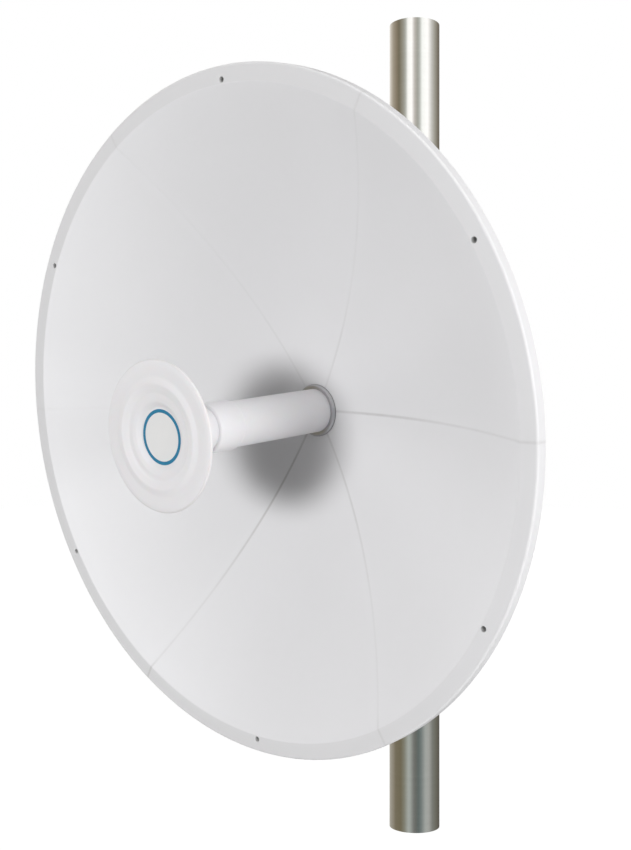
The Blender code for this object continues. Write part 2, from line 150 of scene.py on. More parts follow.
def makeTurnedLines():
    # Fine lines left round an axis by turning or polishing. The axis is Z of the given place
    outputs = ("Lines", "Streaks", "Radius")
    group, given, result = newGroup("turnedLines", {"Pitch": 3000.0}, outputs)
    split, radius = fromAxis(group, given["Place"])
    flat = addNode(group, "CombineXYZ", {"X": radius, "Y": 0.0, "Z": split["Z"]}).outputs[0]
    wide = maths(group, "DIVIDE", given["Pitch"], streakWidth)
    group.links.new(radius, result["Radius"])
    group.links.new(noise(group, flat, given["Pitch"], 2.0), result["Lines"])
    group.links.new(noise(group, flat, wide, 2.0), result["Streaks"])
    return group


crystals = {"waves": 60.0, "bend": (0.01, 0.01, 0.01), "border": (0.0, 0.06, 1.0, 0.0)}


def makeSpangle():
    # Zinc crystals: a tone for each crystal and the thin border between them
    group, given, result = newGroup("zincSpangle", {"Size": 120.0}, ("Tone", "Border"))
    bend = noise(group, given["Place"], crystals["waves"], 2.0)
    shift = addNode(group, "CombineXYZ", {"X": bend, "Y": bend, "Z": bend}).outputs[0]
    inputs = {0: shift, 1: crystals["bend"], 2: given["Place"]}
    warped = addNode(group, "VectorMath", inputs, operation="MULTIPLY_ADD").outputs[0]
    inputs = {"Vector": warped, "Scale": given["Size"], "Randomness": 1.0}
    cells = addNode(group, "TexVoronoi", inputs).outputs["Color"]
    tone = addNode(group, "SeparateColor", {0: cells}).outputs[0]
    edge = addNode(group, "TexVoronoi", inputs, feature="DISTANCE_TO_EDGE").outputs["Distance"]
    group.links.new(tone, result["Tone"])
    group.links.new(remap(group, edge, *crystals["border"]), result["Border"])
    return group


def makeEdgeWear():
    # A mask for handled outer edges and one for the dirt that stays in corners
    group, given, result = newGroup("edgeWear", {"Spread": 0.05}, ("Edge", "Corner"))
    point = addNode(group, "NewGeometry").outputs["Pointiness"]
    rough = noise(group, given["Place"], 90.0)
    high = maths(group, "ADD", 0.5, given["Spread"])
    low = maths(group, "SUBTRACT", 0.5, given["Spread"])
    edge = remap(group, point, 0.5, high, 0.0, 1.0)
    corner = remap(group, point, low, 0.5, 1.0, 0.0)
    group.links.new(times(group, edge, rough, True), result["Edge"])
    group.links.new(times(group, corner, rough, True), result["Corner"])
    return group


# Painted shade on the petal paint: darker lines along the seams, and a darker band and rim turn
paintedShade = {
    "width": 0.0029,
    # How much painted shade each seam gets, by its angle round the boresight
    "seams": [(-180, 0.12), (-124, 1.0), (-64, 0.52), (-4, 0.66), (56, 0.30), (116, 0.28), (176, 0.12)],
    # By radius: round the hub, outwards, and on the flat band
    "inner": (0.03, 0.13, 0.75, 1.0), "outer": (0.08, 0.34, 1.0, 0.22), "band": (0.41, 0.43, 0.0, 0.22),
    "lifted": 0.7,  # how much sooner it fades on the upper seams
    "patches": 30.0, "patchy": (0.3, 0.7, 0.75, 1.1),
    # Painted shade on the band: from its inner edge, less towards one side, full where it turns into the lip
    "bandRadius": (0.4292, 0.4300, 0.0, 1.0), "bandSide": (0.15, 0.43, 1.0, 0.35),
    "turnRadius": (0.4485, 0.4500, 0.0, 1.0), "turnHeight": (0.2448, 0.2468, 0.0, 1.0),
}


def makeSeamShade():
    # Painted shade along the seams, most of it round the hub and on the lower ones, and a second mask of
    # painted shade on the band
    group, given, result = newGroup("seamShade", {"Width": paintedShade["width"]}, ("Mask", "Band"))
    split, radius = fromAxis(group, given["Place"])
    around = maths(group, "ARCTAN2", split["Y"], split["X"])
    fromPetals = maths(group, "SUBTRACT", around, math.radians(dishAim["petalRoll"]))
    share = maths(group, "DIVIDE", fromPetals, math.pi / 3)
    aside = maths(group, "ABSOLUTE", maths(group, "SUBTRACT", share, maths(group, "ROUND", share)))
    away = times(group, times(group, aside, math.pi / 3), radius)
    line = remap(group, maths(group, "DIVIDE", away, given["Width"]), 0.1, 1.0, 1.0, 0.0, True)
    inner = remap(group, radius, *paintedShade["inner"], True)
    lifted = times(group, maths(group, "MAXIMUM", split["Y"], 0.0), paintedShade["lifted"])
    outer = remap(group, maths(group, "ADD", radius, lifted), *paintedShade["outer"], True)
    band = remap(group, radius, *paintedShade["band"], True)
    seams = [(angle, amount, amount, amount) for angle, amount in paintedShade["seams"]]
    each = turnRamp(group, remap(group, around, -math.pi, math.pi, 0.0, 1.0), seams)
    patchy = remap(group, noise(group, given["Place"], paintedShade["patches"]), *paintedShade["patchy"])
    along = maths(group, "ADD", times(group, inner, outer), band)
    amount = times(group, times(group, along, patchy), each)
    group.links.new(times(group, line, amount, True), result["Mask"])
    # Painted shade on the band, less towards +X, and full where the sheet turns into the lip
    outside = remap(group, radius, *paintedShade["bandRadius"])
    far = remap(group, split["X"], *paintedShade["bandSide"], True)
    turnOut = remap(group, radius, *paintedShade["turnRadius"])
    turn = times(group, turnOut, remap(group, split["Z"], *paintedShade["turnHeight"]))
    group.links.new(times(group, outside, maths(group, "MAXIMUM", far, turn)), result["Band"])
    return group


shared = {
    "grain": makeGrain(), "lines": makeTurnedLines(), "spangle": makeSpangle(), "wear": makeEdgeWear(),
    "seamShade": makeSeamShade(),
}


def effect(tree, name, inputs):
    return addNode(tree, "Group", inputs, node_tree=shared[name]).outputs


# Materials

skinDepth = {"coated": 0.0004, "metal": 0.0003}


def newMaterial(name, fixed):
    # Values that are the same all over go on the shader's own sockets
    made = bpy.data.materials.new(name)
    made.use_nodes = True
    tree = made.node_tree
    shader = tree.nodes["Principled BSDF"]
    for label, value in fixed.items():
        shader.inputs[label].default_value = value
    place = addNode(tree, "TexCoord").outputs["Object"]
    return made, tree, shader.inputs, place


def dishAxes(tree, place):
    # Object coordinates turned so that Z runs along the boresight
    inputs = {"Vector": place, "Location": dishAim["pivot"], "Rotation": (dishTurn, 0, 0)}
    return addNode(tree, "Mapping", inputs, vector_type="TEXTURE").outputs[0]


def bump(tree, height, strength, distance):
    inputs = {"Height": height, "Strength": strength, "Distance": distance}
    return addNode(tree, "Bump", inputs).outputs[0]


def makeCoated(name, look):
    # Paint or moulded plastic: soft clouds, fine skin, a few specks, a little dirt in corners, and where
    # asked painted shade along seams, on the band and on the disc's edge
    made, tree, sockets, place = newMaterial(name, look["fixed"])
    grain = effect(tree, "grain", {"Place": place, "Skin": look["skin"], "Clouds": look["clouds"]})
    wear = effect(tree, "wear", {"Place": place, "Spread": look["spread"]})
    tone = blendColours(tree, grain["Clouds"], look["dark"], look["light"])
    speck = times(tree, grain["Specks"], look["speckShare"])
    dirtAndShade = times(tree, wear["Corner"], look["dirtShare"])
    if "seamShadeShare" in look:
        # Painted shade along the seams and on the band is added to the dirt in corners
        shadeMasks = effect(tree, "seamShade", {"Place": dishAxes(tree, place)})
        dirtAndShade = maths(tree, "ADD", dirtAndShade, times(tree, shadeMasks["Mask"], look["seamShadeShare"]))
        # Painted shade on the band and the lip's turn
        dirtAndShade = maths(tree, "ADD", dirtAndShade, times(tree, shadeMasks["Band"], look["bandShadeShare"]))
    # Painted shade by radius on the disc's edge, dulling its lit rim
    if "discEdgeShade" in look:
        radius = effect(tree, "lines", {"Place": dishAxes(tree, place)})["Radius"]
        dirtAndShade = maths(tree, "ADD", dirtAndShade, remap(tree, radius, *look["discEdgeShade"], True))
    tone = blendColours(tree, maths(tree, "ADD", speck, dirtAndShade, True), tone, look["dirtAndShade"])
    tree.links.new(tone, sockets["Base Color"])
    low, high = look["roughness"]
    tree.links.new(remap(tree, grain["Clouds"], 0.3, 0.7, low, high), sockets["Roughness"])
    tree.links.new(bump(tree, grain["Skin"], look["bump"], skinDepth["coated"]), sockets["Normal"])
    return made


def makeMetal(name, look):
    # Bare metal with lines, grain or spangle, brighter worn edges and dark corners
    fixed = {"Metallic": look["metallic"], "IOR": look["refraction"]}
    made, tree, sockets, place = newMaterial(name, fixed)
    wear = effect(tree, "wear", {"Place": place, "Spread": 0.06})
    if look["finish"] in ("lines", "dishLines"):
        axes = place if look["finish"] == "lines" else dishAxes(tree, place)
        lines = effect(tree, "lines", {"Place": axes, "Pitch": look["scale"]})
        vary, height = lines["Streaks"], lines["Lines"]
    elif look["finish"] == "spangle":
        zinc = effect(tree, "spangle", {"Place": place, "Size": look["scale"]})
        vary, height = zinc["Tone"], zinc["Border"]
    else:
        grain = effect(tree, "grain", {"Place": place, "Skin": look["scale"], "Clouds": 14.0})
        vary, height = grain["Clouds"], grain["Skin"]
    tone = blendColours(tree, vary, look["dark"], look["light"])
    tone = blendColours(tree, times(tree, wear["Edge"], 0.5), tone, look["edge"])
    tone = blendColours(tree, times(tree, wear["Corner"], 0.5), tone, look["dirtAndShade"])
    tree.links.new(tone, sockets["Base Color"])
    low, high = look["roughness"]
    tree.links.new(remap(tree, vary, 0.25, 0.75, low, high), sockets["Roughness"])
    tree.links.new(bump(tree, height, look["bump"], skinDepth["metal"]), sockets["Normal"])
    return made


def grey(value, warm=0.0):
    return (value * (1 + warm), value, value * (1 - warm), 1.0)


finePlastic = {
    "skin": 1500.0, "clouds": 80.0, "spread": 0.03, "speckShare": 0.0, "dirtShare": 0.1,
    "roughness": (0.35, 0.45), "bump": 0.03,
}
coatings = {
    "whitePaint": {
        "fixed": {"IOR": 1.5, "Specular IOR Level": 0.32},
        "dark": (0.80, 0.797, 0.81, 1), "light": (0.83, 0.828, 0.842, 1), "dirtAndShade": (0.42, 0.41, 0.40, 1),
        "skin": 700.0, "clouds": 5.0, "spread": 0.02, "speckShare": 0.05, "dirtShare": 0.15,
        # How strong the painted shade is along the seams and on the band
        "seamShadeShare": 0.64, "bandShadeShare": 0.13, "roughness": (0.55, 0.65), "bump": 0.05,
    },
    "feedPlastic": {
        "fixed": {"IOR": 1.46, "Specular IOR Level": 0.3, "Subsurface Weight": 0.08,
                  "Subsurface Scale": 0.004},
        "dark": (0.80, 0.79, 0.805, 1), "light": (0.83, 0.82, 0.835, 1), "dirtAndShade": (0.5, 0.49, 0.47, 1),
        "skin": 1300.0, "clouds": 12.0, "spread": 0.03, "speckShare": 0.03, "dirtShare": 0.1,
        "roughness": (0.45, 0.55), "bump": 0.03,
        # Painted shade on the disc's edge, by radius
        "discEdgeShade": (0.0925, 0.0948, 0.0, 0.3),  # by radius, on the disc's edge
    },
    "labelFilm": {
        **finePlastic, "fixed": {"IOR": 1.45, "Coat Weight": 0.3, "Coat Roughness": 0.2},
        "dark": (0.80, 0.80, 0.80, 1), "light": (0.85, 0.85, 0.845, 1), "dirtAndShade": (0.5, 0.49, 0.47, 1),
        "clouds": 40.0, "speckShare": 0.04, "roughness": (0.40, 0.50),
    },
    "labelBorder": {
        **finePlastic, "fixed": {"IOR": 1.40},
        "dark": (0.018, 0.19, 0.345, 1), "light": (0.022, 0.22, 0.385, 1), "dirtAndShade": (0.1, 0.2, 0.3, 1),
        "clouds": 60.0, "speckShare": 0.02, "dirtShare": 0.05,
    },
    "insulator": {
        **finePlastic, "fixed": {"IOR": 1.35},
        "dark": (0.80, 0.80, 0.79, 1), "light": (0.86, 0.86, 0.85, 1), "dirtAndShade": (0.5, 0.5, 0.48, 1),
    },
    # A dark grey for the thin seal under the hub ring, painted shade for the gap there
    "gapShadeSeal": {
        **finePlastic, "fixed": {"IOR": 1.5, "Specular IOR Level": 0.2},
        "dark": (0.22, 0.215, 0.225, 1), "light": (0.26, 0.255, 0.265, 1), "dirtAndShade": (0.12, 0.12, 0.12, 1),
        "speckShare": 0.1, "dirtShare": 0.3, "roughness": (0.6, 0.75), "bump": 0.1,
    },
}
for name, dark, light in (("litTubePlastic", 0.84, 0.87), ("shadedNeckPlastic", 0.77, 0.80)):
    # The feed's tube and collar get a lighter copy of the disc's plastic as painted light, its neck a darker
    # copy as painted shade
    coatings[name] = {
        **coatings["feedPlastic"],
        "dark": (dark, dark - 0.01, dark + 0.005, 1), "light": (light, light - 0.01, light + 0.005, 1),
    }

metalParts = ("finish", "scale", "metallic", "refraction", "dark", "light", "edge", "dirtAndShade", "roughness",
              "bump")
metals = {
    "poleSteel": ("lines", 2600.0, 1.0, 2.5, grey(0.60, 0.01), grey(0.66, 0.01), grey(0.75), grey(0.2),
                  (0.10, 0.14), 0.01),
    "hubSteel": ("dishLines", 5000.0, 0.85, 1.6, (0.45, 0.447, 0.475, 1), (0.54, 0.537, 0.565, 1), grey(0.6),
                 grey(0.2), (0.28, 0.38), 0.04),
    "castAluminium": ("grain", 1100.0, 1.0, 1.4, grey(0.50), grey(0.60), grey(0.72), grey(0.2),
                      (0.42, 0.58), 0.35),
    "galvanised": ("spangle", 110.0, 1.0, 1.9, grey(0.42), grey(0.60), grey(0.68), grey(0.22),
                   (0.30, 0.52), 0.10),
    "zincPlate": ("grain", 2500.0, 1.0, 1.9, (0.52, 0.53, 0.55, 1), (0.66, 0.66, 0.64, 1), grey(0.75),
                  grey(0.2), (0.24, 0.36), 0.08),
    "connectorNickel": ("grain", 3000.0, 1.0, 2.0, (0.60, 0.56, 0.46, 1), (0.70, 0.66, 0.56, 1), grey(0.8),
                        grey(0.2), (0.16, 0.26), 0.04),
    "darkInsert": ("grain", 3000.0, 0.4, 1.6, grey(0.36), grey(0.46), grey(0.5), grey(0.2),
                   (0.40, 0.55), 0.08),
}

materials = {name: makeCoated(name, look) for name, look in coatings.items()}
materials.update({name: makeMetal(name, dict(zip(metalParts, look))) for name, look in metals.items()})
print("materials made:", len(materials))


# Shape helpers

def turned(profile, steps=96, closed=True):
    # A profile of (radius, height) points spun once round Z
    bm = bmesh.new()
    points = [bm.verts.new((radius, 0, height)) for radius, height in profile]
    edges = [bm.edges.new(pair) for pair in zip(points, points[1:])]
    if closed:
        edges.append(bm.edges.new((points[-1], points[0])))
    bmesh.ops.spin(bm, geom=points + edges, cent=(0, 0, 0), axis=(0, 0, 1), angle=2 * math.pi, steps=steps,
                   use_merge=True)
    bmesh.ops.remove_doubles(bm, verts=bm.verts, dist=1e-6)
    bmesh.ops.recalc_face_normals(bm, faces=bm.faces)
    return bm


def rod(radius, low, high, steps, bore=0):
    # A round length between two heights, with or without a bore
    return turned([(bore, low), (radius, low), (radius, high), (bore, high)], steps, bore > 0)


def block(size, middle):
    bm = bmesh.new()
    bmesh.ops.create_cube(bm, size=1)
    bmesh.ops.scale(bm, vec=size, verts=bm.verts)
    bmesh.ops.translate(bm, vec=middle, verts=bm.verts)
    return bm


def cutBeyond(bm, point, normal):
    # Cuts off what lies beyond a plane, and returns what the cut made
    everything = bm.verts[:] + bm.edges[:] + bm.faces[:]
    return bmesh.ops.bisect_plane(bm, geom=everything, dist=1e-6, plane_co=point, plane_no=normal,
                                  clear_outer=True)["geom_cut"]


def sharpEdges(bm, angle=30):
    limit = math.radians(angle)
    return [e for e in bm.edges if len(e.link_faces) == 2 and e.calc_face_angle() > limit]


def outerEdges(bm, angle, radius):
    return [e for e in sharpEdges(bm, angle) if min(v.co.xy.length for v in e.verts) > radius]


def soften(bm, width, segments=2, angle=30, chosen=None):
    edges = chosen if chosen is not None else sharpEdges(bm, angle)
    bmesh.ops.bevel(bm, geom=edges, offset=width, offset_type="OFFSET", segments=segments, profile=0.5,
                    affect="EDGES", clamp_overlap=True, material=-1)
    return bm


def roundedBlock(size, middle, corner, width, segments):
    # Its upright edges are rounded first, then all the others
    bm = block(size, middle)
    upright = [e for e in bm.edges if abs(e.verts[0].co.z - e.verts[1].co.z) > 0.001]
    soften(bm, corner, 4, chosen=upright)
    return soften(bm, width, segments, 50)


def newObject(name, bm):
    mesh = bpy.data.meshes.new(name)
    bm.to_mesh(mesh)
    bm.free()
    made = bpy.data.objects.new(name, mesh)
    scene.collection.objects.link(made)
    return made, mesh


def withModifiers(piece):
    bpy.context.view_layer.update()
    return bpy.data.meshes.new_from_object(piece.evaluated_get(bpy.context.evaluated_depsgraph_get()))


def addShape(target, extra, place=Matrix()):
    # Puts a second bmesh into the first
    bmesh.ops.transform(extra, matrix=place, verts=extra.verts)
    mesh = bpy.data.meshes.new("extra")
    extra.to_mesh(mesh)
    extra.free()
    target.from_mesh(mesh)
    bpy.data.meshes.remove(mesh)
    return target


def shifted(x, y, z):
    return Matrix.Translation((x, y, z))


def turnedBy(degrees, axis):
    return Matrix.Rotation(math.radians(degrees), 4, axis)


def rolled(degrees):
    # A turn round the boresight, counted from where the petals stand
    return turnedBy(dishAim["petalRoll"] + degrees, "Z")


def makePiece(name, bm, look, place=Matrix(), nodes=()):
    # Places the mesh in the frame, gives it its finish and body, and hides the given nodes of the part
    bmesh.ops.transform(bm, matrix=place, verts=bm.verts)
    piece, mesh = newObject(name, bm)
    mesh.materials.append(materials[look["finish"]])
    mesh.shade_smooth()
    mesh.set_sharp_from_angle(angle=math.radians(look.get("smooth", 40)))
    weighted = piece.modifiers.new("evenShading", "WEIGHTED_NORMAL")
    weighted.keep_sharp = True
    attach(piece, look["body"])
    if nodes:
        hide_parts(*nodes)
    return piece


def cutWith(piece, tools, operation="DIFFERENCE"):
    # Boolean work with helper meshes, made permanent
    for bm in tools:
        helper, mesh = newObject("tool", bm)
        change = piece.modifiers.new("cut", "BOOLEAN")
        change.operation = operation
        change.solver = "EXACT"
        change.object = helper
        result = withModifiers(piece)
        old = piece.data
        piece.modifiers.remove(change)
        piece.data = result
        bpy.data.meshes.remove(old)
        bpy.data.objects.remove(helper)
        bpy.data.meshes.remove(mesh)


print("helpers ready")


# Reflector petals

petal = {
    "count": 6, "innerRadius": 0.0345, "bandInner": 0.429, "lipRadius": 0.452, "rim": 0.2478, "focal": 0.306,
    "sheet": 0.002, "lipDepth": 0.0153, "rimRound": 0.0032, "rimSteps": 8, "creaseRound": 0.0015,
    "seamInset": 0.00006, "flangeStart": 0.104, "flangeFull": 0.125, "innerFlange": 0.0027,
    "leastFold": 0.0024, "foldRound": 0.00035, "foldStart": 0.036, "foldFront": 0.0005, "foldLip": 0.0012,
    "holeRadius": 0.00375, "holeCentre": 0.4342, "holeDepth": 0.012, "bandMiddle": 0.442,
    "rings": 26, "sweep": 62, "sweepSteps": 31,
}
vertexHeight = petal["rim"] - petal["bandInner"] ** 2 / (4 * petal["focal"])
petalStep = 360 / petal["count"]
petalHalf = math.pi / petal["count"]


def dishHeight(radius):
    return vertexHeight + min(radius, petal["bandInner"]) ** 2 / (4 * petal["focal"])


def flangeRear(radius):
    # Where a folded edge ends: close behind the sheet near the hub, as deep as the lip farther out
    if radius >= petal["bandInner"]:
        return petal["rim"] - petal["lipDepth"]
    share = (radius - petal["flangeStart"]) / (petal["flangeFull"] - petal["flangeStart"])
    share = min(1.0, max(0.0, share))
    depth = petal["innerFlange"] + share * (petal["lipDepth"] - petal["innerFlange"])
    return max(dishHeight(radius) - depth, 0)


def petalSheet():
    # The front skin of one petal, its lip and its two folded seam edges, still without thickness
    p = petal
    profile = []
    for step in range(p["rings"] + 1):
        radius = p["innerRadius"] + (p["bandInner"] - p["innerRadius"]) * step / p["rings"]
        profile.append((radius, dishHeight(radius)))
    profile += [(p["holeCentre"], p["rim"]), (p["bandMiddle"], p["rim"])]
    bend = p["rimRound"]
    for step in range(p["rimSteps"] + 1):
        angle = math.pi / 2 * step / p["rimSteps"]
        radius = p["lipRadius"] - bend + bend * math.sin(angle)
        profile.append((radius, p["rim"] - bend * (1 - math.cos(angle))))
    profile.append((p["lipRadius"], p["rim"] - p["lipDepth"]))
    bm = bmesh.new()
    start = Matrix.Rotation(math.radians(-p["sweep"] / 2), 3, "Z")
    points = [bm.verts.new(start @ Vector((radius, 0, height))) for radius, height in profile]
    edges = [bm.edges.new(pair) for pair in zip(points, points[1:])]
    bmesh.ops.spin(bm, geom=points + edges, cent=(0, 0, 0), axis=(0, 0, 1), angle=math.radians(p["sweep"]),
                   steps=p["sweepSteps"])
    bmesh.ops.remove_doubles(bm, verts=bm.verts, dist=1e-6)
    crease = [e for e in bm.edges if all(abs(v.co.xy.length - p["bandInner"]) < 1e-4 for v in e.verts)]
    soften(bm, p["creaseRound"], 4, chosen=crease)
    for side in (1, -1):
        outward = Vector((-math.sin(petalHalf), side * math.cos(petalHalf), 0))
        cut = cutBeyond(bm, -outward * p["seamInset"], outward)
        seam = [e for e in cut if isinstance(e, bmesh.types.BMEdge)
                and min(v.co.xy.length for v in e.verts) < p["lipRadius"] - 1e-4]
        for vert in bmesh.ops.extrude_edge_only(bm, edges=seam)["geom"]:
            if isinstance(vert, bmesh.types.BMVert):
                vert.co.z = min(flangeRear(vert.co.xy.length), vert.co.z - p["leastFold"])
    bmesh.ops.remove_doubles(bm, verts=bm.verts, dist=2e-5)
    bmesh.ops.recalc_face_normals(bm, faces=bm.faces)
    middle = max(bm.faces, key=lambda face: face.calc_area())
    if middle.normal.z < 0:
        bmesh.ops.reverse_faces(bm, faces=bm.faces)
    return bm


def thickSheet():
    # The sheet with its real thickness, added behind
    helper, mesh = newObject("petalSheet", petalSheet())
    wall = helper.modifiers.new("wall", "SOLIDIFY")
    wall.thickness = petal["sheet"]
    wall.offset = -1
    wall.use_even_offset = True
    thick = withModifiers(helper)
    bpy.data.objects.remove(helper)
    bpy.data.meshes.remove(mesh)
    return thick


def onSeam(vert):
    away = abs(vert.co.y) * math.cos(petalHalf) - vert.co.x * math.sin(petalHalf)
    return abs(away + petal["seamInset"]) < 2e-5


def foldEdges(bm):
    # The edges where the front skin and the lip turn into the seams
    chosen = []
    for edge in sharpEdges(bm, 60):
        middle = (edge.verts[0].co + edge.verts[1].co) / 2
        radius = middle.xy.length
        front = radius > petal["foldStart"] and middle.z > dishHeight(radius) - petal["foldFront"]
        lip = radius > petal["lipRadius"] - petal["foldLip"]
        if (front or lip) and all(onSeam(vert) for vert in edge.verts):
            chosen.append(edge)
    return chosen


def makePetals():
    p = petal
    thick = thickSheet()
    for number in range(p["count"]):
        bm = bmesh.new()
        bm.from_mesh(thick)
        soften(bm, p["foldRound"], 3, chosen=foldEdges(bm))
        look = {"finish": "whitePaint", "body": "dish", "slot": "white_paint"}
        place = dishPlace @ rolled(-petalStep / 2 - petalStep * number)
        piece = makePiece("petalSkin%d" % (number + 1), bm, look, place, ["petal_%d" % (number + 1)])
        hole = bmesh.new()
        radius = p["holeRadius"]
        bmesh.ops.create_cone(hole, cap_ends=True, segments=32, radius1=radius, radius2=radius,
                              depth=p["holeDepth"])
        place = place @ shifted(p["holeCentre"], 0, p["rim"])
        bmesh.ops.transform(hole, matrix=place, verts=hole.verts)
        cutWith(piece, [hole])
    bpy.data.meshes.remove(thick)


makePetals()
print("petals made")


# Bolts, nuts and washers. Shank and washer by radius, the hexagon by the width across its flats

boltParts = ("shank", "flats", "head", "nut", "pitch", "washer", "plate")
boltSizes = {
    "M12": (0.006, 0.018, 0.0075, 0.0100, 0.00175, 0.0120, 0.0020),
    "M10": (0.005, 0.016, 0.0065, 0.0080, 0.0015, 0.0100, 0.0018),
    "M8": (0.004, 0.013, 0.0053, 0.0065, 0.00125, 0.0080, 0.0014),
    "M6": (0.003, 0.010, 0.0040, 0.0050, 0.0010, 0.0060, 0.0011),
    "M5": (0.0025, 0.008, 0.0035, 0.0040, 0.0008, 0.0048, 0.0009),
}
bolts = {kind: dict(zip(boltParts, sizes)) for kind, sizes in boltSizes.items()}
boltForm = {
    "cornerCut": 0.075, "edgeCut": 0.012,  # of the width across the flats
    "root": 0.87, "tip": 0.95,  # of the shank's radius
    "tipLength": 0.0008, "plainEnd": 0.0006, "overlap": 0.0004, "washerEdge": 0.0002,
}
boltLook = {"finish": "zincPlate", "body": "dish", "slot": "zinc_bolt", "smooth": 35}
castLook = {"finish": "castAluminium", "body": "dish", "slot": "cast_aluminium"}


def hexBlock(flats, low, high):
    # A hexagon whose corners are cut back at both ends
    bm = bmesh.new()
    wide = flats / math.sqrt(3)
    bmesh.ops.create_cone(bm, cap_ends=True, segments=6, radius1=wide, radius2=wide, depth=high - low)
    bmesh.ops.translate(bm, vec=(0, 0, (low + high) / 2), verts=bm.verts)
    bmesh.ops.bevel(bm, geom=bm.verts[:], offset=flats * boltForm["cornerCut"], segments=1, profile=0.5,
                    affect="VERTICES", clamp_overlap=True, material=-1)
    return soften(bm, flats * boltForm["edgeCut"], 1, 50)


def washer(size, low):
    return soften(rod(size["washer"], low, low + size["plate"], 32, size["shank"]), boltForm["washerEdge"], 1)


def thread(size, low, high):
    # Ridges and grooves up to the chamfered tip
    root = size["shank"] * boltForm["root"]
    profile = [(0, low)]
    height = low
    while height + size["pitch"] < high - boltForm["plainEnd"]:
        profile += [(root, height), (size["shank"], height + size["pitch"] / 2)]
        height += size["pitch"]
    tip = (size["shank"] * boltForm["tip"], high - boltForm["tipLength"])
    return turned(profile + [(root, height), tip, (root, high), (0, high)], 24, False)


def boltShape(kind, grip, tail=0.005, nut=True):
    # The head lies below zero, the shank runs up through the grip, and washers lie outside it
    size = bolts[kind]
    overlap = boltForm["overlap"]
    bm = hexBlock(size["flats"], -size["plate"] - size["head"], -size["plate"])
    addShape(bm, washer(size, -size["plate"]))
    addShape(bm, rod(size["shank"], -overlap, grip, 24))
    if nut:
        top = grip + size["plate"] + size["nut"]
        addShape(bm, washer(size, grip))
        addShape(bm, hexBlock(size["flats"], grip + size["plate"], top))
        addShape(bm, thread(size, top - overlap, top + tail))
    return bm


seamBolt = {
    "radii": (0.150, 0.235, 0.320, 0.400), "depth": 0.0102, "aside": 0.0022, "grip": 0.0044,
    "tail": 0.003,
}


def seamBolts():
    # Small bolts hold each pair of folded edges together
    s = seamBolt
    bm = bmesh.new()
    for seam in range(petal["count"]):
        for radius in s["radii"]:
            depth = s["depth"] * math.sqrt(1 + (radius / (2 * petal["focal"])) ** 2)
            place = rolled(-petalStep * seam) @ shifted(radius, s["aside"], dishHeight(radius) - depth)
            addShape(bm, boltShape("M5", s["grip"], s["tail"]), place @ turnedBy(90, "X"))
    makePiece("seamBolts", bm, boltLook, dishPlace)


insert = {
    "outer": 0.0050, "bore": 0.0033, "ridge": 0.0004, "pitch": 0.0008, "front": -0.0021, "rear": -0.0125,
    "lead": 0.0003, "threadEnd": 0.0025, "wallEnd": 0.0012, "floor": 0.0010,
}


def coverInserts():
    # Blind threaded inserts behind the six holes of the band
    i = insert
    front, rear, root = i["front"], i["rear"], i["bore"] - i["ridge"]
    profile = [(0, rear), (i["outer"], rear), (i["outer"], front), (i["bore"] + i["ridge"], front)]
    height = front - i["lead"]
    while height > rear + i["threadEnd"]:
        profile += [(i["bore"], height), (root, height - i["pitch"] / 2)]
        height -= i["pitch"]
    profile += [(root, rear + i["wallEnd"]), (0, rear + i["floor"])]
    bm = bmesh.new()
    for number in range(petal["count"]):
        place = rolled(-petalStep / 2 - petalStep * number)
        addShape(bm, turned(profile, 24, False), place @ shifted(petal["holeCentre"], 0, petal["rim"]))
    makePiece("coverInserts", bm, {**boltLook, "finish": "darkInsert"}, dishPlace)


seamBolts()
coverInserts()
print("seam bolts and inserts made")


# Hub and feed, along the boresight

corners = ((-1, -1), (-1, 1), (1, -1), (1, 1))
hub = {
    "bore": 0.0305, "flange": 0.098, "flangeDepth": 0.007, "boss": 0.058, "rear": 0.0755,
    "seat": 0.0028, "seatRadii": (0.045, 0.060, 0.075, 0.088, 0.098),
    "ring": 0.0366, "ringHeight": 0.0045, "ringEdge": 0.0005, "seal": 0.0011, "flank": 0.0022,
    "ribs": 6, "rib": (0.044, 0.006, 0.022), "ribRadius": 0.070, "ribDepth": 0.0085, "ribCut": 0.060,
    "grip": 0.004, "boltCircle": 0.083, "yokeBolt": (0.0405, 0.0350, 0.0043),  # across, up, depth
}


def makeHub():
    h = hub
    seats = [(radius, dishHeight(radius) - h["seat"]) for radius in (h["bore"], *h["seatRadii"])]
    rear = seats[-1][1] - h["flangeDepth"]
    profile = [(h["bore"], h["rear"]), *seats, (h["flange"], rear)]
    profile += [(h["boss"] + 0.008, rear - 0.001), (h["boss"] + 0.001, rear - 0.006), (h["boss"], h["rear"])]
    casting = soften(turned(profile), 0.0012, 2, 25)
    piece = makePiece("hubCasting", casting, castLook, nodes=["hub_casting"])
    ribs = []
    for number in range(h["ribs"]):
        rib = block(h["rib"], (h["ribRadius"], 0, rear - h["ribDepth"]))
        cutBeyond(rib, (h["ribCut"], 0, h["rear"] + 0.001), (0.5, 0, -1.0))
        bmesh.ops.holes_fill(rib, edges=rib.edges[:], sides=0)
        bmesh.ops.transform(rib, matrix=rolled(60 * number + 30), verts=rib.verts)
        ribs.append(rib)
    cutWith(piece, ribs, "UNION")
    piece.data.transform(dishPlace)
    places = [rolled(30 * number + 15) @ shifted(h["boltCircle"], 0, rear) for number in range(2 * h["ribs"])]
    across, up, depth = h["yokeBolt"]
    bolted = bmesh.new()
    for place in places:
        addShape(bolted, boltShape("M6", h["grip"], nut=False), place)
    for x, y in corners:
        place = shifted(x * across, y * up, h["rear"] - depth)
        addShape(bolted, boltShape("M8", h["grip"], nut=False), place)
    makePiece("hubBolts", bolted, boltLook, dishPlace)


